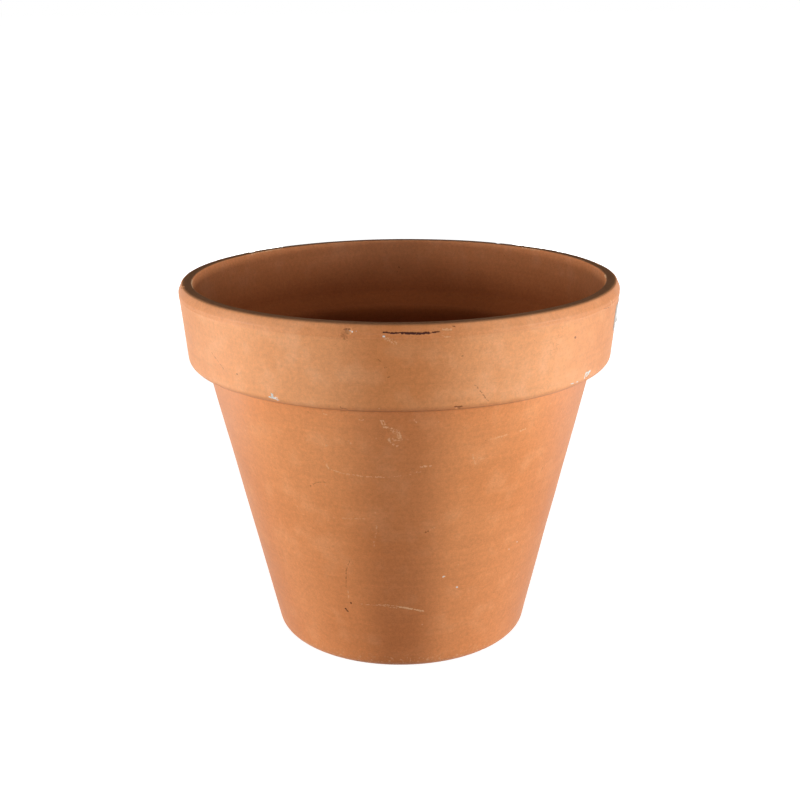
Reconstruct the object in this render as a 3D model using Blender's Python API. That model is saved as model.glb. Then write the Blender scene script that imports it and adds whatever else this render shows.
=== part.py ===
"""Terracotta plant pot: one piece of fired clay, with a blank paper label on its collar.

Metres, +Z up. The origin is the centre of the foot, on the surface that the pot stands on.
The photographed front faces -Y.
"""

import math

import bmesh
import bpy
from mathutils import Vector

# Driving dimensions of the clay
HEIGHT = 0.178
RIM_RADIUS = 0.1054
LIP_INNER_RADIUS = 0.0986
LIP_EDGE_RADIUS = 0.1037
LIP_BEVEL_DEPTH = 0.0039
COLLAR_HEIGHT = 0.0389
COLLAR_FOOT_RADIUS = 0.1017
WALL_TOP_RADIUS = 0.0935
FOOT_RADIUS = 0.0613
WALL_TOP_THICKNESS = 0.0062
WALL_FOOT_THICKNESS = 0.0072
FLOOR_THICKNESS = 0.0095

# The step inside, where the thick collar gives way to the wall
SHOULDER_TOP_DEPTH = 0.028
SHOULDER_FOOT_DEPTH = 0.0365
SHOULDER_TOP_RADIUS = 0.0957

# The underside: a flat standing ring round a shallow dish, with the drain hole in its middle
STANDING_RING_INNER_RADIUS = 0.043
DISH_RADIUS = 0.036
DISH_DEPTH = 0.0015
DRAIN_RADIUS = 0.012

# Corner roundings of the turned outline
LIP_INNER_ROUNDING = 0.0008
LIP_EDGE_ROUNDING = 0.0024
RIM_ROUNDING = 0.0040
COLLAR_FOOT_ROUNDING = 0.0041
COLLAR_TUCK_ROUNDING = 0.0020
FOOT_ROUNDING = 0.0063
RING_ROUNDING = 0.0030
DRAIN_LOWER_ROUNDING = 0.0010
DRAIN_UPPER_ROUNDING = 0.0015
FLOOR_ROUNDING = 0.0090
SHOULDER_ROUNDING = 0.0070
ARC_STEP = math.radians(24)
TURN_STEPS = 72

# The paper label
LABEL_WIDTH = 0.021
LABEL_HEIGHT = 0.012
LABEL_THICKNESS = 0.00025
LABEL_CORNER_RADIUS = 0.0008
LABEL_CORNER_STEPS = 3
LABEL_COLUMNS = 8
LABEL_FIRST_ANGLE = math.radians(72.8)
LABEL_CENTRE_HEIGHT = 0.1630
SEATING_GAP = 0.0003

# Finishes
CLAY_COLOUR = (0.58, 0.27, 0.13, 1.0)
CLAY_ROUGHNESS = 0.85
PAPER_COLOUR = (0.86, 0.88, 0.86, 1.0)
PAPER_ROUGHNESS = 0.55

SAME_POINT = 1e-6


def collar_radius(height):
    """Radius of the collar's straight outer face at a height."""
    rise = (height - (HEIGHT - COLLAR_HEIGHT)) / (COLLAR_HEIGHT - LIP_BEVEL_DEPTH)
    return COLLAR_FOOT_RADIUS + (RIM_RADIUS - COLLAR_FOOT_RADIUS) * rise


def wall_radius(height):
    """Radius of the wall's straight outer face below the collar at a height."""
    return FOOT_RADIUS + (WALL_TOP_RADIUS - FOOT_RADIUS) * height / (HEIGHT - COLLAR_HEIGHT)


def rounded_outline(corners):
    """Closed outline through (radius, height, rounding) corners, each turned into an arc."""
    points = []
    for index, (radius, height, rounding) in enumerate(corners):
        corner = Vector((radius, height))
        before = Vector(corners[index - 1][:2]) - corner
        after = Vector(corners[(index + 1) % len(corners)][:2]) - corner
        before.normalize()
        after.normalize()
        opening = before.angle(after)
        centre = corner + (before + after).normalized() * (rounding / math.sin(opening / 2))
        tangent_length = rounding / math.tan(opening / 2)
        start = corner + before * tangent_length - centre
        turn = start.angle_signed(corner + after * tangent_length - centre)
        steps = max(2, math.ceil(abs(turn) / ARC_STEP))
        start_angle = math.atan2(start.y, start.x)
        for step in range(steps + 1):
            angle = start_angle - turn * step / steps
            points.append(centre + rounding * Vector((math.cos(angle), math.sin(angle))))
    return points


def clay_outline():
    """Section of the clay: down the outside, under the foot, up the drain and up the inside."""
    collar_foot = HEIGHT - COLLAR_HEIGHT
    shoulder_foot = HEIGHT - SHOULDER_FOOT_DEPTH
    return rounded_outline([
        (LIP_EDGE_RADIUS, HEIGHT, LIP_EDGE_ROUNDING),
        (RIM_RADIUS, HEIGHT - LIP_BEVEL_DEPTH, RIM_ROUNDING),
        (COLLAR_FOOT_RADIUS, collar_foot, COLLAR_FOOT_ROUNDING),
        (WALL_TOP_RADIUS, collar_foot, COLLAR_TUCK_ROUNDING),
        (FOOT_RADIUS, 0.0, FOOT_ROUNDING),
        (STANDING_RING_INNER_RADIUS, 0.0, RING_ROUNDING),
        (DISH_RADIUS, DISH_DEPTH, RING_ROUNDING),
        (DRAIN_RADIUS, DISH_DEPTH, DRAIN_LOWER_ROUNDING),
        (DRAIN_RADIUS, FLOOR_THICKNESS, DRAIN_UPPER_ROUNDING),
        (wall_radius(FLOOR_THICKNESS) - WALL_FOOT_THICKNESS, FLOOR_THICKNESS, FLOOR_ROUNDING),
        (WALL_TOP_RADIUS - WALL_TOP_THICKNESS, shoulder_foot, SHOULDER_ROUNDING),
        (SHOULDER_TOP_RADIUS, HEIGHT - SHOULDER_TOP_DEPTH, SHOULDER_ROUNDING),
        (LIP_INNER_RADIUS, HEIGHT, LIP_INNER_ROUNDING),
    ])


def finish_material(name, colour, roughness):
    """Plain dielectric finish."""
    material = bpy.data.materials.new(name)
    material.use_nodes = True
    shader = material.node_tree.nodes["Principled BSDF"]
    shader.inputs["Base Color"].default_value = colour
    shader.inputs["Roughness"].default_value = roughness
    shader.inputs["Metallic"].default_value = 0.0
    return material


def add_object(name, shape, material):
    """Turn a finished bmesh into a smooth-shaded scene object."""
    bmesh.ops.recalc_face_normals(shape, faces=shape.faces)
    mesh = bpy.data.meshes.new(name)
    shape.to_mesh(mesh)
    shape.free()
    mesh.shade_smooth()
    mesh.set_sharp_from_angle(angle=math.radians(35))
    mesh.materials.append(material)
    piece = bpy.data.objects.new(name, mesh)
    bpy.context.scene.collection.objects.link(piece)
    return piece


def build_clay_pot():
    """Turn the clay's section once round the upright axis."""
    shape = bmesh.new()
    section = [shape.verts.new((point.x, 0.0, point.y)) for point in clay_outline()]
    edges = [shape.edges.new((section[index - 1], section[index])) for index in range(len(section))]
    bmesh.ops.spin(
        shape,
        geom=section + edges,
        cent=(0.0, 0.0, 0.0),
        axis=(0.0, 0.0, 1.0),
        angle=math.tau,
        steps=TURN_STEPS,
        use_merge=True,
    )
    bmesh.ops.remove_doubles(shape, verts=shape.verts, dist=SAME_POINT)
    clay = finish_material("terracotta", CLAY_COLOUR, CLAY_ROUGHNESS)
    return add_object("clay_pot", shape, clay)


def build_paper_label():
    """Cut a flat label with small round corners, thicken it and wrap it round the collar."""
    shape = bmesh.new()
    half_width = LABEL_WIDTH / 2
    half_height = LABEL_HEIGHT / 2
    signs = ((-1, -1), (1, -1), (1, 1), (-1, 1))
    corners = [shape.verts.new((half_width * x, half_height * y, 0.0)) for x, y in signs]
    shape.faces.new(corners)
    bmesh.ops.bevel(
        shape,
        geom=corners,
        offset=LABEL_CORNER_RADIUS,
        segments=LABEL_CORNER_STEPS,
        profile=0.5,
        affect="VERTICES",
    )
    for column in range(1, LABEL_COLUMNS):
        bmesh.ops.bisect_plane(
            shape,
            geom=shape.verts[:] + shape.edges[:] + shape.faces[:],
            plane_co=(LABEL_WIDTH * column / LABEL_COLUMNS - half_width, 0.0, 0.0),
            plane_no=(1.0, 0.0, 0.0),
        )
    raised = bmesh.ops.extrude_face_region(shape, geom=shape.faces[:])["geom"]
    raised_points = [item for item in raised if isinstance(item, bmesh.types.BMVert)]
    bmesh.ops.translate(shape, verts=raised_points, vec=(0.0, 0.0, LABEL_THICKNESS))

    middle_radius = collar_radius(LABEL_CENTRE_HEIGHT) + SEATING_GAP
    for point in shape.verts:
        height = LABEL_CENTRE_HEIGHT + point.co.y
        angle = LABEL_FIRST_ANGLE + (point.co.x + half_width) / middle_radius
        radius = collar_radius(height) + SEATING_GAP + point.co.z
        point.co = (radius * math.sin(angle), -radius * math.cos(angle), height)
    paper = finish_material("label_paper", PAPER_COLOUR, PAPER_ROUGHNESS)
    return add_object("paper_label", shape, paper)


for old_object in list(bpy.data.objects):
    bpy.data.objects.remove(old_object, do_unlink=True)

pot = build_clay_pot()
label = build_paper_label()
label.parent = pot
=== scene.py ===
"""Looks of the terracotta plant pot: the fired clay with its wear, and the paper label."""

import math

import bpy
from mathutils import Euler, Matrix, Vector, kdtree, noise


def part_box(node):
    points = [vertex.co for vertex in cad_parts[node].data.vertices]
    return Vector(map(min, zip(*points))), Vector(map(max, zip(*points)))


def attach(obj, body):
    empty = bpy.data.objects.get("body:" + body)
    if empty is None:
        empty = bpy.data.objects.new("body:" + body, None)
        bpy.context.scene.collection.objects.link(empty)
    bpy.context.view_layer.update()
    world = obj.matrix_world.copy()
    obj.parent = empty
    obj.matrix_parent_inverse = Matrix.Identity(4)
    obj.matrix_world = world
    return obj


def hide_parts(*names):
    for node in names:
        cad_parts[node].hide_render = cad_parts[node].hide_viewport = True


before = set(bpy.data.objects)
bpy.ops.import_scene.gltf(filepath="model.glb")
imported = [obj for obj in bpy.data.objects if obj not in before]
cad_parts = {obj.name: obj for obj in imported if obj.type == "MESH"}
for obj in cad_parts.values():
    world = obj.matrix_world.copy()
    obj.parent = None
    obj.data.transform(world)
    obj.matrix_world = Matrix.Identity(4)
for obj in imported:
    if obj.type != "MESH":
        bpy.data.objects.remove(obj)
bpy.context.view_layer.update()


# The clay body. Real pots of this kind are pressed in one piece from red clay, trimmed on a wheel and
# fired without glaze, so the collar, wall, foot and floor are one turned shell. Its section is drawn as a
# chain of corners, the corners are rounded, and the chain is spun once round the upright axis.
clay_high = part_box("clay_pot")[1]
height = clay_high.z
rim_radius = clay_high.x + 0.0001
lip_inner_radius = 0.0986
lip_edge_radius = 0.1037
lip_bevel_depth = 0.0039
collar_foot = height - 0.0389
collar_foot_radius = 0.1017
wall_top_radius = 0.0935
foot_radius = 0.0613
wall_top_thickness = 0.0062
wall_foot_thickness = 0.0072
floor_thickness = 0.0095
shoulder_top = height - 0.0295
shoulder_foot = height - 0.0350
shoulder_top_radius = 0.0957
ring_inner_radius = 0.043
dish_radius = 0.036
dish_depth = 0.0015
drain_radius = 0.012
ridge_level = height - 0.0058
ridge_half_width = 0.0006
ridge_proud = 0.00016
turn_steps = 216


def wall_radius(level):
    """Radius of the wall's outer face under the collar."""
    return foot_radius + (wall_top_radius - foot_radius) * level / collar_foot


def collar_radius(level):
    """Radius of the collar's outer face."""
    rise = (level - collar_foot) / (height - lip_bevel_depth - collar_foot)
    return collar_foot_radius + (rim_radius - collar_foot_radius) * rise


ridge_top = ridge_level + ridge_half_width
ridge_foot = ridge_level - ridge_half_width
floor_edge_radius = wall_radius(floor_thickness) - wall_foot_thickness

# Corners of the section: radius, height, rounding, steps in the rounding, and cuts in the run to the next
# corner
section = [
    (lip_edge_radius, height, 0.0019, 7, 0),
    (rim_radius, height - lip_bevel_depth, 0.0016, 5, 0),
    (collar_radius(ridge_top), ridge_top, 0.0006, 2, 0),
    (collar_radius(ridge_level) + ridge_proud, ridge_level, 0.0006, 3, 0),
    (collar_radius(ridge_foot), ridge_foot, 0.0006, 2, 16),
    (collar_foot_radius, collar_foot, 0.0041, 9, 1),
    (wall_top_radius, collar_foot, 0.0016, 6, 48),
    (foot_radius, 0.0, 0.0063, 10, 4),
    (ring_inner_radius, 0.0, 0.0030, 3, 2),
    (dish_radius, dish_depth, 0.0030, 3, 5),
    (drain_radius, dish_depth, 0.0010, 4, 2),
    (drain_radius, floor_thickness, 0.0015, 5, 8),
    (floor_edge_radius, floor_thickness, 0.0090, 10, 18),
    (wall_top_radius - wall_top_thickness, shoulder_foot, 0.0035, 6, 2),
    (shoulder_top_radius, shoulder_top, 0.0040, 6, 12),
    (lip_inner_radius, height, 0.0008, 5, 2),
]
corners = [Vector((radius, 0.0, level)) for radius, level, *_ in section]
same_place = 1e-5
on_the_line = 1e-7
run_share = 0.3


def select_points(mesh, test):
    """In edit mode, select only the points that pass the test."""
    bpy.ops.mesh.select_all(action="DESELECT")
    bpy.ops.object.mode_set(mode="OBJECT")
    for point in mesh.vertices:
        point.select = test(point)
    bpy.ops.object.mode_set(mode="EDIT")


def select_edges(mesh, test):
    """In edit mode, select only the edges whose two ends pass the test together."""
    bpy.ops.mesh.select_all(action="DESELECT")
    bpy.ops.mesh.select_mode(type="EDGE")
    bpy.ops.object.mode_set(mode="OBJECT")
    for edge in mesh.edges:
        first, second = (mesh.vertices[index].co for index in edge.vertices)
        edge.select = test(first, second)
    bpy.ops.object.mode_set(mode="EDIT")


bpy.ops.object.select_all(action="DESELECT")
bpy.ops.mesh.primitive_plane_add(size=0.01)
pot = bpy.context.object
pot.name = "turned_clay_pot"
pot.data.name = "turned_clay_pot"
bpy.ops.object.mode_set(mode="EDIT")
bpy.ops.mesh.select_mode(type="VERT")
bpy.ops.mesh.select_all(action="SELECT")
bpy.ops.mesh.merge(type="CENTER")
bpy.ops.transform.translate(value=corners[0])
for corner, next_corner in zip(corners, corners[1:]):
    bpy.ops.mesh.extrude_region_move(TRANSFORM_OT_translate={"value": next_corner - corner})
chain_ends = (corners[0], corners[-1])
select_points(pot.data, lambda point: any((point.co - end).length < same_place for end in chain_ends))
bpy.ops.mesh.edge_face_add()
for index, (rounding, steps) in enumerate(row[2:4] for row in section):
    corner = corners[index]
    next_corner = corners[(index + 1) % len(corners)]
    opening = (corners[index - 1] - corner).angle(next_corner - corner)
    select_points(pot.data, lambda point: (point.co - corner).length < same_place)
    bpy.ops.mesh.bevel(
        affect="VERTICES",
        offset=rounding / math.tan(opening / 2),
        offset_type="OFFSET",
        segments=steps,
        profile=0.5,
    )
for index, cuts in enumerate(row[4] for row in section):
    corner = corners[index]
    along = corners[(index + 1) % len(corners)] - corner
    if cuts:
        select_edges(
            pot.data,
            lambda first, second: (second - first).length > run_share * along.length
            and (first - corner).cross(along).length < on_the_line
            and (second - corner).cross(along).length < on_the_line,
        )
        bpy.ops.mesh.subdivide(number_cuts=cuts)
bpy.ops.mesh.select_mode(type="VERT")
bpy.ops.mesh.select_all(action="SELECT")
bpy.ops.mesh.spin(steps=turn_steps, angle=math.tau, center=(0, 0, 0), axis=(0, 0, 1))
bpy.ops.mesh.select_all(action="SELECT")
bpy.ops.mesh.remove_doubles(threshold=0.00002)
bpy.ops.mesh.normals_make_consistent(inside=False)
bpy.ops.object.mode_set(mode="OBJECT")
bpy.ops.object.shade_smooth()

# Marks of use on the outer face. Each is a stroke through places, given as degrees from the front and
# millimetres up, with its width in millimetres and how fully it covers the clay.
pale_rubs = [
    ([(-5.1, 133.3), (-4.3, 129.8)], 1.0, 0.48),
    ([(-4.4, 133.4), (-3.9, 130.3), (-3.2, 130)], 1.2, 0.50),
    ([(-4, 130), (-2.5, 129.5), (-1.7, 129.2)], 1.3, 0.50),
    ([(-2.3, 128.5), (-1.2, 127.1), (-0.6, 125.9)], 2.0, 0.36),
    ([(-0.9, 128.7), (-0.2, 126.6), (0.4, 124.4)], 1.2, 0.48),
    ([(-0.9, 125.8), (-0.1, 124.2)], 1.3, 0.46),
    ([(0.4, 124.4), (1.9, 124.2)], 1.0, 0.42),
    ([(-3.1, 124.2), (-1.6, 124.1), (0.3, 123.9)], 2.2, 0.36),
    ([(-3.3, 124), (-2.1, 122), (-1.2, 121.1), (0.3, 121)], 1.2, 0.48),
    ([(-2.1, 122.3)], 1.0, 0.50),
    ([(-3.4, 131.5)], 1.0, 0.45),
    ([(-6.6, 124.6)], 1.0, 0.45),
    ([(-14.7, 122.4), (-13.6, 121.4)], 1.5, 0.36),
    ([(-22.6, 119.8), (-20.8, 119.2)], 1.5, 0.28),
    ([(-28, 121), (-26.5, 120.7)], 0.9, 0.27),
    ([(-22.4, 110.8), (-21.4, 107.6)], 1.4, 0.45),
    ([(-21.4, 107.6), (-16.4, 106)], 0.9, 0.44),
    ([(-16.4, 106), (-11, 105.3), (-4.8, 105.4)], 0.8, 0.46),
    ([(-4.8, 105.4), (3.5, 106.6)], 0.8, 0.31),
    ([(5.6, 110.3), (8.9, 110.7)], 0.7, 0.65),
    ([(3.2, 107.6), (6.4, 107.9)], 0.8, 0.35),
    ([(-45.5, 83.7)], 0.9, 0.53),
    ([(-36.5, 85.4), (-35.2, 84.2)], 0.8, 0.44),
    ([(-33.6, 81.2)], 1.0, 0.53),
    ([(-22, 82.6), (-16.4, 83), (-11.6, 83.6)], 0.9, 0.32),
    ([(-7.8, 86.9)], 1.1, 0.41),
    ([(-7.8, 80), (-8.2, 76), (-9.2, 69)], 1.2, 0.31),
    ([(-20.2, 43.6), (-20.4, 39)], 0.8, 0.38),
    ([(-15.6, 36.4), (-5.9, 36.9)], 0.8, 0.40),
    ([(-6.2, 37.1), (-0.6, 36)], 0.9, 0.50),
    ([(-0.6, 36), (4, 34.6)], 1.4, 0.66),
    ([(4, 34.6), (8.4, 33)], 1.1, 0.70),
    ([(-7, 36.1), (-2, 35.3)], 0.7, 0.36),
    ([(15, 51.3), (15.6, 51.5)], 1.0, 0.78),
    ([(20.4, 56.8)], 0.8, 0.53),
    ([(9.2, 77.5), (10.8, 78.7)], 0.6, 0.53),
    ([(25.5, 120.4), (28.6, 120.9)], 0.9, 0.35),
    ([(28.6, 120.9), (31.8, 121.4)], 0.9, 0.51),
    ([(36.2, 121.6), (38.3, 122.4)], 0.9, 0.65),
    ([(21.1, 114.4), (22, 110.4)], 0.8, 0.52),
    ([(22.1, 110), (22.3, 109.6)], 0.9, 0.65),
    ([(23.4, 112), (25, 111.4)], 2.2, 0.26),
    ([(46.3, 60.5)], 1.0, 0.70),
    ([(42.4, 58.3)], 1.0, 0.65),
    ([(50.2, 36.7), (52.8, 40.2)], 0.7, 0.48),
    ([(-20.8, 134.9), (-19.8, 134.6)], 0.8, 0.53),
    ([(-17.4, 132.7), (-16.4, 132.5)], 0.7, 0.36),
    ([(-10.9, 133.3), (-9.7, 133.2)], 0.7, 0.53),
    ([(-51.4, 119.8), (-48.9, 120.6)], 0.8, 0.49),
    ([(3.5, 133.8), (4.5, 132)], 0.9, 0.36),
    ([(10.2, 132.3)], 0.9, 0.44),
    ([(-3, 172.2), (-0.8, 170.6)], 2.6, 0.35),
    ([(9.4, 175.7), (11.8, 175.5)], 1.6, 0.41),
    ([(9.6, 172.8), (11.6, 172.5)], 1.4, 0.29),
    ([(64.6, 174.4), (66.4, 171.4)], 1.4, 0.55),
    ([(67.2, 173.6), (68.4, 170.8)], 1.2, 0.46),
    ([(84, 122), (92, 117), (97, 109)], 1.5, 0.42),
    ([(103, 96), (112, 94.5), (121, 95.4)], 0.8, 0.43),
    ([(128, 62), (133, 66)], 0.9, 0.47),
    ([(139, 127), (141, 121)], 1.8, 0.43),
    ([(151, 152), (157, 150.6)], 1.0, 0.37),
    ([(163, 88), (168, 84)], 0.8, 0.47),
    ([(-171, 43), (-162, 41)], 0.9, 0.61),
    ([(-158, 112), (-150, 110), (-143, 110.8)], 0.8, 0.42),
    ([(-137, 71)], 1.0, 0.65),
    ([(-126, 128), (-122, 122.5)], 1.6, 0.43),
    ([(-113, 57), (-107, 60)], 0.8, 0.48),
    ([(-98, 150), (-92, 148.8)], 0.9, 0.36),
    ([(-84, 92), (-78, 94.5)], 0.8, 0.46),
    ([(-71, 47), (-67, 44)], 0.9, 0.47),
]
dark_scores = [
    ([(-14.2, 141.6), (-14, 140.4), (-12.6, 140)], 0.9, 0.55),
    ([(-28.8, 97.2), (-26.3, 99.6), (-23.4, 100.6)], 0.8, 0.49),
    ([(-18.3, 60), (-20.2, 53), (-20.9, 45)], 0.8, 0.47),
    ([(8, 76.4), (8.9, 77.2)], 1.0, 0.78),
    ([(60.3, 45.7)], 1.2, 0.69),
    ([(53.2, 84)], 1.0, 0.69),
    ([(51, 96.6), (52.4, 98.6)], 1.2, 0.32),
    ([(63.8, 98), (64.6, 101)], 1.1, 0.36),
    ([(17.8, 150.2), (19.7, 146.3), (21.4, 142.4)], 0.7, 0.47),
    ([(-2.7, 155.7)], 2.0, 0.48),
    ([(-3.1, 160.6), (-2.8, 157)], 0.7, 0.44),
    ([(-5, 163.6), (-4.2, 162.4)], 0.8, 0.40),
    ([(-43.4, 149.5)], 1.2, 0.69),
    ([(-42.1, 150.4)], 0.9, 0.59),
    ([(-53.6, 156.2), (-48.6, 150)], 0.7, 0.43),
    ([(-38.7, 168.7)], 1.2, 0.46),
    ([(-60, 173.6)], 1.1, 0.59),
    ([(-12.6, 175.8), (-10.6, 175.9)], 1.6, 0.49),
    ([(-12.6, 174), (-12, 171)], 2.2, 0.36),
    ([(-13.6, 173.4), (-11.6, 172.6)], 1.8, 0.28),
    ([(40.6, 169), (39.2, 160)], 9.0, 0.15),
    ([(46.9, 163.9)], 1.7, 0.95),
    ([(60, 172.2), (63.9, 171.5)], 0.9, 0.48),
    ([(65.8, 173.4), (67.2, 170.4)], 1.2, 0.44),
    ([(-23.4, 151.6)], 0.9, 0.44),
    ([(92, 160), (98, 157)], 0.8, 0.46),
    ([(115, 74), (117, 68), (117.6, 60)], 0.8, 0.47),
    ([(134, 165)], 1.3, 0.78),
    ([(147, 104), (152, 106)], 0.8, 0.47),
    ([(171, 148)], 1.8, 0.53),
    ([(-166, 72), (-161, 74.6)], 0.8, 0.48),
    ([(-146, 160), (-143, 154)], 0.8, 0.46),
    ([(-118, 100)], 1.2, 0.69),
    ([(-109, 169), (-104, 168)], 1.4, 0.37),
    ([(-88, 64), (-86, 57)], 0.8, 0.46),
    ([(13.1, 141.3), (14.8, 141.1)], 1.0, 0.98),
]
black_smears = [
    ([(-3.7, 174.9), (0.2, 174.7)], 1.0, 0.90),
    ([(0.6, 174.7), (4.4, 174.4)], 1.4, 1.00),
    ([(4.4, 174.4), (6.6, 174.6)], 1.3, 1.00),
    ([(6.6, 174.6), (8.9, 174.8)], 0.9, 0.80),
    ([(12.3, 176.7)], 1.0, 0.90),
    ([(14.3, 163.8)], 1.1, 0.85),
    ([(-19.7, 36.3)], 1.3, 1.00),
    ([(-22.2, 32.5)], 1.4, 1.00),
    ([(-22.2, 32.4), (-21.5, 31.1)], 0.8, 0.75),
    ([(176, 171.6), (169, 171.9)], 1.0, 0.80),
    ([(-96, 40)], 1.3, 0.90),
]
white_flakes = [
    ([(-33.4, 142.3), (-32.7, 141.9)], 1.0, 0.70),
    ([(-32.4, 143.8), (-32.3, 142.2)], 1.3, 1.00),
    ([(-32.6, 142), (-31.7, 141.7)], 1.4, 1.00),
    ([(-31.3, 142.5), (-31.7, 141.7)], 0.9, 0.95),
    ([(-31.7, 141.6), (-31.2, 141.2), (-30.7, 141.5)], 0.9, 0.75),
    ([(-30.8, 142.3)], 0.9, 0.60),
    ([(53.8, 142.3), (54.6, 144), (56.6, 144.5)], 1.7, 0.85),
    ([(55.2, 142.6), (56, 143.4)], 1.2, 0.80),
    ([(47.4, 142.2), (48.6, 142.1)], 0.9, 0.75),
    ([(49.8, 142), (50.8, 141.9)], 0.9, 0.70),
    ([(-10.9, 175.3), (-10.5, 175.1)], 1.0, 0.80),
    ([(-9.7, 175.3)], 0.9, 0.80),
    ([(-3.4, 173.2)], 1.2, 0.90),
    ([(21, 44.4)], 1.3, 1.00),
    ([(15, 51.4), (15.6, 51.5)], 0.9, 0.75),
    ([(46.3, 60.5)], 0.9, 0.70),
    ([(42.4, 58.3)], 0.9, 0.65),
    ([(147, 177.9), (149, 177.8)], 2.0, 0.95),
    ([(124, 141.8), (126, 142.4)], 1.6, 0.70),
    ([(-151, 139.9), (-149, 140.6)], 1.3, 0.70),
]

# Marks inside, along the lip's inner edge and on the upper inner face: pale rubs, and at the left and right
# the pale lines along the lip's inner edge are painted highlights as well as rubs
inner_rubs_and_edge_highlights = [
    ([(-86, 177.8), (-74, 177.9)], 1.2, 0.75),
    ([(84, 177.8), (88, 177.8)], 1.3, 0.80),
    ([(80, 174), (84, 173)], 0.9, 0.60),
    ([(131, 177.9), (138, 177.8)], 1.1, 0.50),
    ([(-140, 177.9), (-128, 177.8)], 1.1, 0.55),
]
inner_scores = [
    ([(180, 163)], 1.3, 0.75),
    ([(180.6, 160.6)], 1.1, 0.60),
    ([(-161, 137)], 1.4, 0.70),
    ([(149, 150), (151, 147)], 0.9, 0.45),
    ([(40, 120), (44, 112)], 1.0, 0.50),
]

# Chips, as degrees from the front, radius, height, reach and depth
lip_edge = (lip_edge_radius - 0.0004, height - 0.0005)
collar_edge = (collar_foot_radius - 0.0008, collar_foot + 0.0012)
foot_edge = (foot_radius - 0.0015, 0.0020)
chips = [
    (-11.3, collar_radius(0.1752) - 0.0004, 0.1752, 0.0021, 0.00045),
    (-31.9, collar_radius(0.1424) - 0.0002, 0.1424, 0.0020, 0.00030),
    (54.8, collar_radius(0.1434) - 0.0002, 0.1434, 0.0025, 0.00035),
    (13.9, *collar_edge, 0.0012, 0.00045),
    (148.0, *lip_edge, 0.0024, 0.0008),
    (-77.0, *lip_edge, 0.0013, 0.0005),
    (-131.0, *lip_edge, 0.0027, 0.0009),
    (104.0, *lip_edge, 0.0016, 0.0006),
    (-168.0, *collar_edge, 0.0031, 0.0010),
    (118.0, *collar_edge, 0.0022, 0.0007),
    (-103.0, *collar_edge, 0.0018, 0.0006),
    (-20.0, *foot_edge, 0.0016, 0.0004),
    (41.0, *foot_edge, 0.0019, 0.0004),
    (53.0, *foot_edge, 0.0014, 0.0004),
    (-62.0, *foot_edge, 0.0020, 0.0006),
    (112.0, *foot_edge, 0.0026, 0.0008),
    (172.0, *foot_edge, 0.0018, 0.0006),
    (-128.0, *foot_edge, 0.0024, 0.0008),
]


def outer_radius(level):
    """Radius of the outer face at any height: the wall, the collar or the bevel under the lip."""
    bevel_foot = height - lip_bevel_depth
    if level > bevel_foot:
        return rim_radius - (rim_radius - lip_edge_radius) * (level - bevel_foot) / lip_bevel_depth
    return collar_radius(level) if level > collar_foot else wall_radius(level)


def inner_radius(level):
    """Radius of the inner face at any height."""
    if level > shoulder_top:
        rise = (level - shoulder_top) / (height - shoulder_top)
        return shoulder_top_radius + (lip_inner_radius - shoulder_top_radius) * rise
    return wall_radius(level) - wall_top_thickness


def around(degrees, radius, level):
    """Point at a turn from the front, a distance from the axis and a height."""
    angle = math.radians(degrees)
    return Vector((radius * math.sin(angle), -radius * math.cos(angle), level))


# How strokes are laid: in millimetres the space between points and the least width, and in metres how far a
# stroke wanders and how far off the face it still marks. The vector noise that they wander by is seeded, so
# that they are the same in each run.
stroke_step = 0.22
thinnest_stroke = 0.85
stroke_wander = 0.00025
wander_scale = 420
wander_seed = 22
face_slack = 0.0015
stroke_fade = 1.7
noise.seed_set(wander_seed)


def stroke_points(places, face_radius):
    """Points close together along a stroke on a face, wandering a little as a scratch does."""
    points = []
    for (degrees, level), (next_degrees, next_level) in zip(places, places[1:] or places):
        run = math.hypot(math.radians(next_degrees - degrees) * rim_radius * 1000, next_level - level)
        steps = max(1, round(run / stroke_step))
        for step in range(steps + 1):
            share = step / steps
            at_level = (level + (next_level - level) * share) / 1000
            spot = around(degrees + (next_degrees - degrees) * share, face_radius(at_level), at_level)
            points.append(spot + noise.noise_vector(spot * wander_scale) * stroke_wander)
    return points


def point_finder(mesh):
    """Search tree of a mesh's points."""
    finder = kdtree.KDTree(len(mesh.vertices))
    for point in mesh.vertices:
        finder.insert(point.co, point.index)
    finder.balance()
    return finder


# The four kinds of mark, each with its strokes and the face that they lie on
finishes = {
    "rubbed_and_edge_lit": [(pale_rubs, outer_radius), (inner_rubs_and_edge_highlights, inner_radius)],
    "scored": [(dark_scores, outer_radius), (inner_scores, inner_radius)],
    "sooted": [(black_smears, outer_radius)],
    "flaked": [(white_flakes, outer_radius)],
}
worn_spots = [(around(degrees, radius, level), reach) for degrees, radius, level, reach, _ in chips]
for stroke_lists in finishes.values():
    for strokes, face_radius in stroke_lists:
        for places, width, _ in strokes:
            worn_spots += [(spot, width / 2000) for spot in stroke_points(places, face_radius)]

# The mesh is made finer round the marks and chips, in two steps, and then rounded on to the true circle
for spare, cuts in ((0.0027, 2), (0.0008, 1)):
    finder = point_finder(pot.data)
    near = set()
    for spot, reach in worn_spots:
        near.update(index for _, index, _ in finder.find_range(spot, reach + spare))
    bpy.ops.object.mode_set(mode="EDIT")
    select_points(pot.data, lambda point: point.index in near)
    bpy.ops.mesh.subdivide(number_cuts=cuts, ngon=False)
    bpy.ops.object.mode_set(mode="OBJECT")
step_angle = math.tau / turn_steps
for point in pot.data.vertices:
    turns = math.atan2(point.co.y, point.co.x) / step_angle
    off_middle = (turns - math.floor(turns) - 0.5) * step_angle
    swell = math.cos(off_middle) / math.cos(step_angle / 2)
    point.co = (point.co.x * swell, point.co.y * swell, point.co.z)

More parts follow.
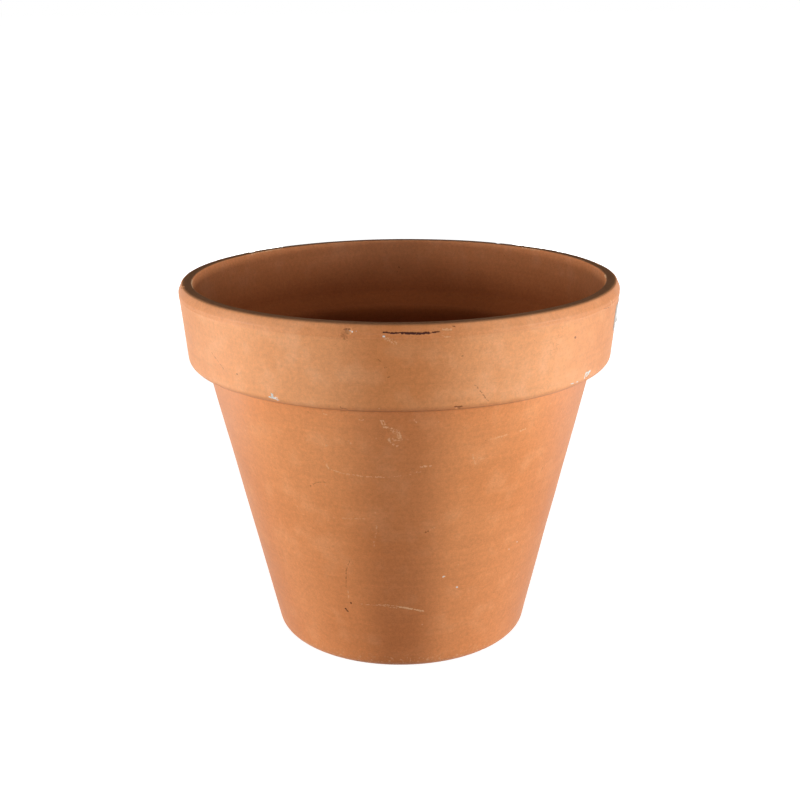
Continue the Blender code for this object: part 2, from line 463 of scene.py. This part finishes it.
# Hand-pressed clay is never quite true, so the shell swells and sinks a little, all but its standing ring
uneven_depth = 0.0005
uneven_size = 0.06
flat_foot = 0.006
free_clay = pot.vertex_groups.new(name="free_clay")
for point in pot.data.vertices:
    free_clay.add([point.index], min(1.0, point.co.z / flat_foot), "REPLACE")
uneven_clay = bpy.data.textures.new("uneven_clay", type="CLOUDS")
uneven_clay.noise_scale = uneven_size
uneven = pot.modifiers.new("uneven_clay", "DISPLACE")
uneven.texture = uneven_clay
uneven.texture_coords = "LOCAL"
uneven.strength = uneven_depth
uneven.mid_level = 0.5
uneven.vertex_group = free_clay.name
bpy.ops.object.modifier_apply(modifier=uneven.name)

# What the clay's finish reads from the mesh: how far each kind of mark covers it, where the chips are,
# which side is the inside, and where the lip is
finder = point_finder(pot.data)
point_values = {}
for finish, stroke_lists in finishes.items():
    covers = [0.0] * len(pot.data.vertices)
    for strokes, face_radius in stroke_lists:
        for places, width, cover in strokes:
            reach = max(width, thinnest_stroke) / 2000
            for spot in stroke_points(places, face_radius):
                normal = pot.data.vertices[finder.find(spot)[1]].normal
                for place, index, _ in finder.find_range(spot, reach + face_slack):
                    offset = place - spot
                    offset -= normal * offset.dot(normal)
                    edge_share = min(1.0, stroke_fade * (1.0 - offset.length / reach))
                    covers[index] = max(covers[index], cover * edge_share)
    point_values[finish] = covers

# A chip has a ragged outline and a rough bed, and its clay is bare
widest_chip = 1.4
mean_chip = 0.85
ragged_share = 0.5
ragged_scale = 700
rough_share = 0.35
rough_scale = 2600
bed_slope = 2.4
bare_slope = 4.0
bare_clay = [0.0] * len(pot.data.vertices)
cut_places = {}
for degrees, radius, level, reach, depth in chips:
    middle = around(degrees, radius, level)
    for place, index, distance in finder.find_range(middle, widest_chip * reach):
        ragged_reach = reach * (mean_chip + ragged_share * noise.noise(place * ragged_scale))
        inwards = 1.0 - distance / ragged_reach
        if inwards > 0.0:
            roughness = 1.0 + rough_share * noise.noise(place * rough_scale)
            cut = depth * roughness * min(1.0, bed_slope * inwards)
            cut_places[index] = place - pot.data.vertices[index].normal * cut
            bare_clay[index] = min(1.0, bare_slope * inwards)
point_values["bare_clay"] = bare_clay
for index, place in cut_places.items():
    pot.data.vertices[index].co = place
face_slope = 4.0
upright_share = 0.72
lip_zone = height - 0.004


def outwards(normal, place):
    """How far a face looks away from the axis: 1 straight out, -1 straight in."""
    return normal.dot(Vector((place.x, place.y, 0.0)).normalized())


def on_floor(normal, place):
    """Whether a face belongs to the floor inside the pot."""
    return normal.z > 0.7 and place.z < 0.1


inner_side = []
lip_face = []
for point in pot.data.vertices:
    inwards = min(1.0, max(0.0, -face_slope * outwards(point.normal, point.co)))
    inner_side.append(1.0 if on_floor(point.normal, point.co) else inwards)
    upwards = min(1.0, max(0.0, face_slope * (point.normal.z - upright_share)))
    lip_face.append(upwards if point.co.z > lip_zone else 0.0)
point_values["inner_side"] = inner_side
point_values["lip_face"] = lip_face
for name, values in point_values.items():
    pot.data.attributes.new(name, "FLOAT", "POINT").data.foreach_set("value", values)


def add_node(tree, kind, **settings):
    """New node with its settings."""
    node = tree.nodes.new(kind)
    for name, value in settings.items():
        setattr(node, name, value)
    return node


def feed(tree, socket, value):
    """Link a socket to another, or set it to a plain value."""
    if isinstance(value, bpy.types.NodeSocket):
        tree.links.new(value, socket)
    else:
        socket.default_value = value


def work_out(tree, operation, *values):
    """Result of a Math node."""
    node = add_node(tree, "ShaderNodeMath", operation=operation)
    for socket, value in zip(node.inputs, values):
        feed(tree, socket, value)
    return node.outputs["Value"]


def work_out_vector(tree, operation, *values):
    """Result of a Vector Math node that puts out a vector."""
    node = add_node(tree, "ShaderNodeVectorMath", operation=operation)
    for socket, value in zip(node.inputs, values):
        feed(tree, socket, value)
    return node.outputs["Vector"]


def scaled(tree, vector, amount):
    """A vector or a colour times a number."""
    node = add_node(tree, "ShaderNodeVectorMath", operation="SCALE")
    feed(tree, node.inputs["Vector"], vector)
    feed(tree, node.inputs["Scale"], amount)
    return node.outputs["Vector"]


def mixed(tree, amount, first, second):
    """Colour between two colours. A Mix node's colour sockets come after those for numbers and vectors."""
    node = add_node(tree, "ShaderNodeMix", data_type="RGBA")
    feed(tree, node.inputs[0], amount)
    feed(tree, node.inputs[6], first)
    feed(tree, node.inputs[7], second)
    return node.outputs[2]


def ramped(tree, value, low, high):
    """Smooth rise from 0 at one value to 1 at the other."""
    node = add_node(tree, "ShaderNodeMapRange", interpolation_type="SMOOTHSTEP", clamp=False)
    for name, number in (("Value", value), ("From Min", low), ("From Max", high)):
        feed(tree, node.inputs[name], number)
    return node.outputs["Result"]


def clouded(tree, place, scale, detail=2.0):
    """Cloudy noise at a number of features per metre."""
    node = add_node(tree, "ShaderNodeTexNoise")
    feed(tree, node.inputs["Vector"], place)
    node.inputs["Scale"].default_value = scale
    node.inputs["Detail"].default_value = detail
    return node.outputs["Fac"]


def spotted(tree, place, scale, share, size):
    """Scattered round spots: a share of the cells of a grid hold one, of a size in cells."""
    node = add_node(tree, "ShaderNodeTexVoronoi")
    feed(tree, node.inputs["Vector"], place)
    node.inputs["Scale"].default_value = scale
    chance = add_node(tree, "ShaderNodeSeparateColor")
    tree.links.new(node.outputs["Color"], chance.inputs["Color"])
    chosen = work_out(tree, "LESS_THAN", chance.outputs["Red"], share)
    own_size = work_out(tree, "MULTIPLY", chance.outputs["Green"], size)
    own_core = work_out(tree, "MULTIPLY", own_size, 0.4)
    nearness = ramped(tree, node.outputs["Distance"], own_size, own_core)
    return work_out(tree, "MULTIPLY", chosen, nearness)


# Fine grain of a rough surface, for the clay and the paper: a coarse and a fine noise in one
fine_grain = bpy.data.node_groups.new("fine_grain", "ShaderNodeTree")
fine_grain.interface.new_socket("Place", in_out="INPUT", socket_type="NodeSocketVector")
fine_grain.interface.new_socket("Scale", in_out="INPUT", socket_type="NodeSocketFloat")
fine_grain.interface.new_socket("Grain", in_out="OUTPUT", socket_type="NodeSocketFloat")
grain_in = fine_grain.nodes.new("NodeGroupInput")
grain_out = fine_grain.nodes.new("NodeGroupOutput")
grain_place = scaled(fine_grain, grain_in.outputs["Place"], grain_in.outputs["Scale"])
coarse_grain = clouded(fine_grain, grain_place, 0.4)
sharp_grain = clouded(fine_grain, grain_place, 1.0)
both_grains = work_out(fine_grain, "ADD", coarse_grain, sharp_grain)
fine_grain.links.new(work_out(fine_grain, "SUBTRACT", both_grains, 1.0), grain_out.inputs["Grain"])

# The clay's finish: warm orange with paler bloom, turning streaks, grain, specks and the marks of use, with
# painted light, sheen and shade where noted
clay = bpy.data.materials.new("worn_terracotta")
clay.use_nodes = True
tree = clay.node_tree
clay_shader = tree.nodes["Principled BSDF"]
clay_shine = 0.13
clay_shader.inputs["Specular IOR Level"].default_value = clay_shine
place = add_node(tree, "ShaderNodeTexCoord").outputs["Object"]
apart = add_node(tree, "ShaderNodeSeparateXYZ")
tree.links.new(place, apart.inputs["Vector"])
level = apart.outputs["Z"]
inside = add_node(tree, "ShaderNodeAttribute", attribute_name="inner_side").outputs["Fac"]
chipped = add_node(tree, "ShaderNodeAttribute", attribute_name="bare_clay").outputs["Fac"]
outside = work_out(tree, "SUBTRACT", 1.0, inside)
raggedness = clouded(tree, place, 1250, 3.0)
cover_weight = 0.34
cover_gain = 1.4
first_caught = 0.56
all_caught = 0.70


def worn_mask(name):
    """Mask of one kind of mark: its cover from the mesh, broken up where the clay's grain is low."""
    cover = add_node(tree, "ShaderNodeAttribute", attribute_name=name).outputs["Fac"]
    catch = work_out(tree, "MULTIPLY_ADD", cover, cover_weight, raggedness)
    caught = ramped(tree, catch, first_caught, all_caught)
    strength = work_out(tree, "MINIMUM", work_out(tree, "MULTIPLY", cover, cover_gain), 1.0)
    return work_out(tree, "MULTIPLY", strength, caught)


warm_clay = (0.640, 0.236, 0.082, 1)
soft_clay = (0.672, 0.262, 0.098, 1)
bloom_clay = (0.76, 0.38, 0.19, 1)
# Painted shade: the darker clay deep inside the pot
shaded_inner_clay = (0.42, 0.122, 0.038, 1)
fresh_clay = (0.74, 0.335, 0.140, 1)
band_clay = (0.60, 0.205, 0.068, 1)
# Pale clay of rubs and scuffs, and of the painted highlights on the lip's inner edge
scuffed_and_edge_lit_clay = (0.88, 0.53, 0.29, 1)
scored_clay = (0.28, 0.090, 0.030, 1)
# Painted shade: the dark clay in the seam under the collar
seam_shade_clay = (0.30, 0.10, 0.036, 1)
# Painted shade: the dark clay of the lip's top
lip_shade_clay = (0.32, 0.162, 0.088, 1)
# Painted shade: the dark clay of the band under the step
step_shade_clay = (0.20, 0.042, 0.012, 1)
plaster_white = (0.86, 0.84, 0.78, 1)
soot_black = (0.046, 0.008, 0.002, 1)
foot_tone = (0.84, 0.77, 0.73, 1)
wall_tone = (0.89, 0.84, 0.80, 1)
collar_tone = (1.0, 1.01, 0.99, 1)
# Painted light: paler, bluer tones for the sides of the front and back, standing in for side light and
# sheen
wall_side_light_tone = (1.33, 1.43, 1.52, 1)
collar_side_sheen_tone = (1.30, 1.52, 1.88, 1)
inner_tone = (1.15, 1.19, 1.40, 1)
plain_tone = (1.0, 1.0, 1.0, 1)
broad_tone = clouded(tree, place, 16, 3.0)
middle_tone = clouded(tree, place, 80, 3.0)
stretched = add_node(tree, "ShaderNodeMapping")
stretched.inputs["Scale"].default_value = (9.0, 9.0, 620.0)
tree.links.new(place, stretched.inputs["Vector"])
turning_streaks = clouded(tree, stretched.outputs["Vector"], 1.0, 3.0)
grain_node = add_node(tree, "ShaderNodeGroup", node_tree=fine_grain)
grain_node.inputs["Scale"].default_value = 1500.0
tree.links.new(place, grain_node.inputs["Place"])
grain = grain_node.outputs["Grain"]
dark_specks = spotted(tree, place, 300, 0.16, 0.13)
pale_specks = spotted(tree, place, 210, 0.17, 0.12)

# Broad clouds of two clays, with a pale bloom
bloom_share = 0.20
colour = mixed(tree, ramped(tree, broad_tone, 0.35, 0.65), warm_clay, soft_clay)
bloom = work_out(tree, "MULTIPLY", ramped(tree, middle_tone, 0.48, 0.72), bloom_share)
colour = mixed(tree, bloom, colour, bloom_clay)

# Tone by height and side: deeper towards the foot and paler on the collar. Between the middle of the front
# or back and the sides the clay is painted paler and bluer, a painted light and sheen from the side lamps
height_tone = mixed(tree, ramped(tree, level, 0.015, 0.120), foot_tone, wall_tone)
on_collar = ramped(tree, level, collar_foot - 0.001, collar_foot + 0.004)
height_tone = mixed(tree, work_out(tree, "MULTIPLY", on_collar, outside), height_tone, collar_tone)
level_place = work_out_vector(tree, "MULTIPLY", place, (1.0, 1.0, 0.0))
facing = add_node(tree, "ShaderNodeSeparateXYZ")
tree.links.new(work_out_vector(tree, "NORMALIZE", level_place), facing.inputs["Vector"])
sidewards = work_out(tree, "ABSOLUTE", facing.outputs["X"])
# Painted light and sheen: the clay is lifted between the middle of the front or back and the sides
off_middle_light = ramped(tree, sidewards, 0.05, 0.34)
off_side_light = ramped(tree, sidewards, 1.05, 0.66)
painted_side_light = work_out(tree, "MULTIPLY", off_middle_light, off_side_light)
painted_side_light = work_out(tree, "MULTIPLY", painted_side_light, outside)
height_tone = mixed(tree, inside, height_tone, inner_tone)
side_light_tone = mixed(tree, on_collar, wall_side_light_tone, collar_side_sheen_tone)
height_tone = work_out_vector(tree, "MULTIPLY", height_tone, mixed(tree, painted_side_light, plain_tone, side_light_tone))
colour = work_out_vector(tree, "MULTIPLY", colour, height_tone)

# The redder band over the turning ridge
band_share = 0.3
above_ridge = ramped(tree, level, ridge_level - 0.0003, ridge_level + 0.0004)
band = work_out(tree, "MULTIPLY", work_out(tree, "MULTIPLY", above_ridge, outside), band_share)
colour = mixed(tree, band, colour, band_clay)

# The inside is painted darker from the lip down, a painted shade deeper in the pot, and a band of painted
# shade runs round under the step, both weaker towards the floor
clear_share = 0.4
step_shade_share = 0.8
painted_shade_reach = ramped(tree, level, 0.090, 0.124)
inner_painted_shade = work_out(tree, "MULTIPLY", ramped(tree, level, height + 0.010, 0.145), inside)
depth_share = work_out(tree, "MULTIPLY_ADD", painted_shade_reach, 1.0 - clear_share, clear_share)
inner_painted_shade = work_out(tree, "MULTIPLY", inner_painted_shade, depth_share)
colour = mixed(tree, inner_painted_shade, colour, shaded_inner_clay)
below_step = ramped(tree, level, shoulder_foot + 0.002, shoulder_foot - 0.006)
below_step = work_out(tree, "MULTIPLY", work_out(tree, "MULTIPLY", below_step, inside), painted_shade_reach)
colour = mixed(tree, work_out(tree, "MULTIPLY", below_step, step_shade_share), colour, step_shade_clay)

# The lip's top is painted darker, a painted shade for the dim light from above, and a thin line of painted
# shade runs in the seam under the collar
lip_shade_share = 0.85
seam_shade_share = 0.35
on_lip = add_node(tree, "ShaderNodeAttribute", attribute_name="lip_face").outputs["Fac"]
colour = mixed(tree, work_out(tree, "MULTIPLY", on_lip, lip_shade_share), colour, lip_shade_clay)
below_edge = ramped(tree, level, collar_foot + 0.0013, collar_foot + 0.0004)
above_wall = ramped(tree, level, collar_foot - 0.0030, collar_foot - 0.0006)
seam_shade = work_out(tree, "MULTIPLY", below_edge, above_wall)
seam_shade = work_out(tree, "MULTIPLY", work_out(tree, "MULTIPLY", seam_shade, outside), seam_shade_share)
colour = mixed(tree, seam_shade, colour, seam_shade_clay)

# Grain, turning streaks and soft clouds, lighter and darker by the same amount
shade = work_out(tree, "MULTIPLY_ADD", grain, 0.28, 1.0)
shade = work_out(tree, "ADD", shade, work_out(tree, "MULTIPLY_ADD", turning_streaks, 0.14, -0.07))
shade = work_out(tree, "ADD", shade, work_out(tree, "MULTIPLY_ADD", middle_tone, 0.10, -0.05))
colour = scaled(tree, colour, shade)

# Scuffs at the foot, specks, bare clay in the chips, and the marks of use over them, with the painted
# highlights on the lip's inner edge among the pale rubs
foot_scuff_share = 0.5
pale_speck_share = 0.45
dark_speck_share = 0.5
chip_share = 0.8
foot_band = ramped(tree, level, 0.010, 0.003)
foot_scuffs = ramped(tree, clouded(tree, place, 700, 3.0), 0.56, 0.66)
scuffs = work_out(tree, "MULTIPLY", work_out(tree, "MULTIPLY", foot_band, foot_scuffs), foot_scuff_share)
scuffs = work_out(tree, "MAXIMUM", scuffs, work_out(tree, "MULTIPLY", pale_specks, pale_speck_share))
scuffs = work_out(tree, "MULTIPLY", scuffs, outside)
rubs_and_edge_light = work_out(tree, "MAXIMUM", scuffs, worn_mask("rubbed_and_edge_lit"))
colour = mixed(tree, work_out(tree, "MULTIPLY", dark_specks, dark_speck_share), colour, scored_clay)
colour = mixed(tree, work_out(tree, "MULTIPLY", chipped, chip_share), colour, fresh_clay)
colour = mixed(tree, worn_mask("scored"), colour, scored_clay)
colour = mixed(tree, rubs_and_edge_light, colour, scuffed_and_edge_lit_clay)
flakes = worn_mask("flaked")
colour = mixed(tree, flakes, colour, plaster_white)
colour = mixed(tree, worn_mask("sooted"), colour, soot_black)
tree.links.new(colour, clay_shader.inputs["Base Color"])

# Rubbed and flaked places, and the painted highlights on the lip's inner edge, are rougher
gloss = work_out(tree, "MULTIPLY_ADD", middle_tone, 0.16, 0.36)
matted = work_out(tree, "MULTIPLY", work_out(tree, "MAXIMUM", rubs_and_edge_light, flakes), 0.2)
tree.links.new(work_out(tree, "ADD", gloss, matted), clay_shader.inputs["Roughness"])

# Fine relief: grain, soft unevenness and turning streaks, pits at the dark specks, and the thickness of
# flakes
relief = work_out(tree, "MULTIPLY", grain, 0.5)
relief = work_out(tree, "ADD", relief, work_out(tree, "MULTIPLY", clouded(tree, place, 240, 3.0), 0.8))
relief = work_out(tree, "ADD", relief, work_out(tree, "MULTIPLY", turning_streaks, 0.5))
relief = work_out(tree, "SUBTRACT", relief, work_out(tree, "MULTIPLY", dark_specks, 0.9))
relief = work_out(tree, "ADD", relief, work_out(tree, "MULTIPLY", flakes, 0.8))
clay_bump = add_node(tree, "ShaderNodeBump")
clay_bump.inputs["Strength"].default_value = 0.5
clay_bump.inputs["Distance"].default_value = 0.00012
tree.links.new(relief, clay_bump.inputs["Height"])
tree.links.new(clay_bump.outputs["Normal"], clay_shader.inputs["Normal"])
pot.data.materials.append(clay)

# The lip and the inside stayed matt, so they have the same finish with no shine
matt_clay = clay.copy()
matt_clay.name = "matt_terracotta"
matt_shader = matt_clay.node_tree.nodes["Principled BSDF"]
matt_shader.inputs["Specular IOR Level"].default_value = 0.0
pot.data.materials.append(matt_clay)
for face in pot.data.polygons:
    faces_axis = outwards(face.normal, face.center) < -0.15
    is_lip = face.normal.z > 0.75 and face.center.z > lip_zone
    face.material_index = 1 if faces_axis or is_lip or on_floor(face.normal, face.center) else 0
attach(pot, "root")
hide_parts("clay_pot")


# The label: a small blank price label of white paper, stuck by its own gum to the upper half of the collar
# on the right. It is cut flat with small round corners, wrapped round the clay and thickened, and one
# lower corner has begun to peel.
label_width = 0.021
label_height = 0.012
label_thickness = 0.00015
label_corner = 0.0008
label_first_angle = math.radians(72.8)
label_middle_height = 0.1630
label_gap = 0.00004
peel_reach = 0.0055
peel_lift = 0.0011
peel_curl = 1.6
edge_slack = 1e-6
bpy.ops.object.select_all(action="DESELECT")
bpy.ops.mesh.primitive_grid_add(x_subdivisions=42, y_subdivisions=24, size=1.0)
label = bpy.context.object
label.name = "price_label"
label.data.name = "price_label"
bpy.ops.object.mode_set(mode="EDIT")
bpy.ops.transform.resize(value=(label_width, label_height, 1.0))
half_label = Vector((label_width / 2, label_height / 2))
select_points(
    label.data,
    lambda point: abs(point.co.x) > half_label.x - edge_slack
    and abs(point.co.y) > half_label.y - edge_slack,
)
bpy.ops.mesh.bevel(affect="VERTICES", offset=label_corner, offset_type="OFFSET", segments=5, profile=0.5)
bpy.ops.object.mode_set(mode="OBJECT")
peeling_corner = Vector((half_label.x, -half_label.y))
middle_radius = collar_radius(label_middle_height) + label_gap
for point in label.data.vertices:
    away = (point.co.xy - peeling_corner).length
    lift = peel_lift * max(0.0, 1.0 - away / peel_reach) ** peel_curl
    angle = label_first_angle + (point.co.x + half_label.x) / middle_radius
    point_level = label_middle_height + point.co.y
    collar_place = around(math.degrees(angle), collar_radius(point_level), point_level)
    clay_place = pot.closest_point_on_mesh(collar_place)[1]
    radius = clay_place.xy.length + label_gap + lift
    point.co = around(math.degrees(angle), radius, point_level)
paper_depth = label.modifiers.new("paper_depth", "SOLIDIFY")
paper_depth.thickness = label_thickness
paper_depth.offset = 1.0
bpy.ops.object.modifier_apply(modifier=paper_depth.name)
bpy.ops.object.shade_smooth_by_angle(angle=math.radians(50))

paper_white = (0.56, 0.55, 0.52, 1)
paper_yellowed = (0.57, 0.54, 0.47, 1)
clay_dust = (0.52, 0.34, 0.22, 1)
paper = bpy.data.materials.new("aged_paper")
paper.use_nodes = True
tree = paper.node_tree
paper_shader = tree.nodes["Principled BSDF"]
paper_shader.inputs["Specular IOR Level"].default_value = 0.15
place = add_node(tree, "ShaderNodeTexCoord").outputs["Object"]
fibre_node = add_node(tree, "ShaderNodeGroup", node_tree=fine_grain)
fibre_node.inputs["Scale"].default_value = 5200.0
tree.links.new(place, fibre_node.inputs["Place"])
fibres = fibre_node.outputs["Grain"]
ageing = ramped(tree, clouded(tree, place, 190, 3.0), 0.45, 0.75)
dusting = work_out(tree, "MULTIPLY", ramped(tree, clouded(tree, place, 420, 4.0), 0.56, 0.74), 0.45)
colour = mixed(tree, work_out(tree, "MULTIPLY", ageing, 0.5), paper_white, paper_yellowed)
colour = mixed(tree, dusting, colour, clay_dust)
colour = scaled(tree, colour, work_out(tree, "MULTIPLY_ADD", fibres, 0.10, 1.0))
tree.links.new(colour, paper_shader.inputs["Base Color"])
tree.links.new(work_out(tree, "MULTIPLY_ADD", ageing, 0.15, 0.55), paper_shader.inputs["Roughness"])
creases = clouded(tree, place, 260, 2.0)
paper_relief = work_out(tree, "ADD", work_out(tree, "MULTIPLY", fibres, 0.25), creases)
paper_bump = add_node(tree, "ShaderNodeBump")
paper_bump.inputs["Strength"].default_value = 0.4
paper_bump.inputs["Distance"].default_value = 0.0001
tree.links.new(paper_relief, paper_bump.inputs["Height"])
tree.links.new(paper_bump.outputs["Normal"], paper_shader.inputs["Normal"])
label.data.materials.append(paper)
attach(label, "root")
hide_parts("paper_label")


# The floor: a wide pale sheet that the pot stands on. It keeps the pot's shadow, and a glow that only the
# camera, reflections and clear things see lifts it to white, more so far from the pot, and not under the
# pot, where the drain hole shows it.
# Beside the pot, where the low light casts long shadows, the glow is far brighter than white, a glowing
# patch that is no lamp:
# reflected in the sides of the pot it gives them a painted sheen.
floor_reach = 60.0
floor_drop = 0.0002
floor_grey = (0.40, 0.40, 0.40, 1)
near_glow = 0.92
far_glow = 1.0
side_sheen_glow = 4.0
bpy.ops.object.select_all(action="DESELECT")
bpy.ops.mesh.primitive_plane_add(size=2 * floor_reach, location=(0, 0, -floor_drop))
floor = bpy.context.object
floor.name = "pale_floor"
floor_paint = bpy.data.materials.new("pale_floor")
floor_paint.use_nodes = True
tree = floor_paint.node_tree
floor_shader = tree.nodes["Principled BSDF"]
floor_shader.inputs["Base Color"].default_value = floor_grey
floor_shader.inputs["Roughness"].default_value = 1.0
floor_shader.inputs["Specular IOR Level"].default_value = 0.0
floor_shader.inputs["Emission Color"].default_value = (1, 1, 1, 1)


def background_rays(tree):
    """1 for rays that show the background: seen by the camera, in a reflection or through a clear thing."""
    rays = add_node(tree, "ShaderNodeLightPath").outputs
    seen = work_out(tree, "MAXIMUM", rays["Is Camera Ray"], rays["Is Glossy Ray"])
    return work_out(tree, "MAXIMUM", seen, rays["Is Transmission Ray"])


floor_place = add_node(tree, "ShaderNodeTexCoord").outputs["Object"]
pot_distance = add_node(tree, "ShaderNodeVectorMath", operation="LENGTH")
tree.links.new(floor_place, pot_distance.inputs[0])
far_off = ramped(tree, pot_distance.outputs["Value"], 0.25, 1.0)
glow = work_out(tree, "MULTIPLY_ADD", far_off, far_glow - near_glow, near_glow)
floor_apart = add_node(tree, "ShaderNodeSeparateXYZ")
tree.links.new(floor_place, floor_apart.inputs["Vector"])
to_the_side = work_out(tree, "ABSOLUTE", floor_apart.outputs["X"])
to_the_front = work_out(tree, "ABSOLUTE", work_out(tree, "ADD", floor_apart.outputs["Y"], 0.06))
off_the_pot = ramped(tree, to_the_side, 0.20, 0.34)
level_with_pot = ramped(tree, to_the_front, 0.32, 0.12)
beside_pot = work_out(tree, "MULTIPLY", off_the_pot, level_with_pot)
# Painted sheen: the strong glow beside the pot shows in the pot's sides as a reflection
glow = work_out(tree, "MULTIPLY_ADD", beside_pot, side_sheen_glow, glow)
clear_of_pot = ramped(tree, pot_distance.outputs["Value"], 0.038, 0.050)
glow = work_out(tree, "MULTIPLY", glow, clear_of_pot)
seen_glow = work_out(tree, "MULTIPLY", glow, background_rays(tree))
tree.links.new(seen_glow, floor_shader.inputs["Emission Strength"])
floor.data.materials.append(floor_paint)


# The light: two low soft boxes far off at each side, so that the middle of the front stays darker, a high
# one at each side that reaches inside, a weak one in front, one behind and one above.
pot_middle = Vector((0.0, 0.0, 0.10))


def soft_box(name, degrees, distance, level, width, tall, power):
    """Area lamp at a turn from the front, a distance from the pot and a height, turned towards the pot."""
    angle = math.radians(degrees)
    spot = Vector((distance * math.sin(angle), -distance * math.cos(angle), level))
    bpy.ops.object.select_all(action="DESELECT")
    bpy.ops.object.light_add(type="AREA", location=spot)
    lamp = bpy.context.object
    lamp.name = name
    lamp.data.shape = "RECTANGLE"
    lamp.data.size = width
    lamp.data.size_y = tall
    lamp.data.energy = power
    lamp.rotation_euler = (pot_middle - spot).to_track_quat("-Z", "Y").to_euler()


soft_box("left_front_box", -78, 5.0, 0.16, 1.2, 0.30, 100)
soft_box("left_box", -92, 5.0, 0.16, 1.2, 0.30, 68)
soft_box("left_high_box", -90, 5.0, 1.35, 1.2, 1.0, 54)
soft_box("right_front_box", 76, 5.0, 0.16, 1.2, 0.30, 162)
soft_box("right_box", 92, 5.0, 0.16, 1.2, 0.30, 30)
soft_box("right_high_box", 90, 5.0, 1.35, 1.2, 1.0, 40)
soft_box("front_box", 0, 0.75, 0.30, 0.30, 0.20, 1.50)
soft_box("back_box", 180, 1.1, 0.12, 0.50, 0.25, 5.0)
soft_box("over_box", 0, 0.0, 1.4, 0.60, 0.60, 1.7)

# The air around: white as a background, and nearly dark as a light
air_light = 0.02
air_white = 1.0
world = bpy.data.worlds.new("studio_air")
bpy.context.scene.world = world
world.use_nodes = True
tree = world.node_tree
tree.nodes.clear()
air_mix = add_node(tree, "ShaderNodeMixShader")
air_out = add_node(tree, "ShaderNodeOutputWorld")
tree.links.new(background_rays(tree), air_mix.inputs["Fac"])
for socket, strength in zip(air_mix.inputs[1:], (air_light, air_white)):
    air = add_node(tree, "ShaderNodeBackground")
    air.inputs["Color"].default_value = (1, 1, 1, 1)
    air.inputs["Strength"].default_value = strength
    tree.links.new(air.outputs["Background"], socket)
tree.links.new(air_mix.outputs["Shader"], air_out.inputs["Surface"])


# The camera: in front of the pot, a little above its rim, as in the photograph.
image_size = 800
focal_pixels = 1322.7
camera_place = (0.0, -0.62824, 0.30196)
camera_pitch = -0.28922
camera_roll = -0.00819
camera_data = bpy.data.cameras.new("camera")
camera_data.sensor_width = 36.0
camera_data.lens = focal_pixels / image_size * camera_data.sensor_width
camera_data.clip_end = 200.0
camera = bpy.data.objects.new("camera", camera_data)
bpy.context.scene.collection.objects.link(camera)
camera.location = camera_place
camera.rotation_mode = "QUATERNION"
looking = Euler((math.pi / 2 + camera_pitch, 0.0, 0.0)).to_quaternion()
camera.rotation_quaternion = looking @ Euler((0.0, 0.0, camera_roll)).to_quaternion()
bpy.context.scene.camera = camera
bpy.context.scene.view_settings.view_transform = "Standard"
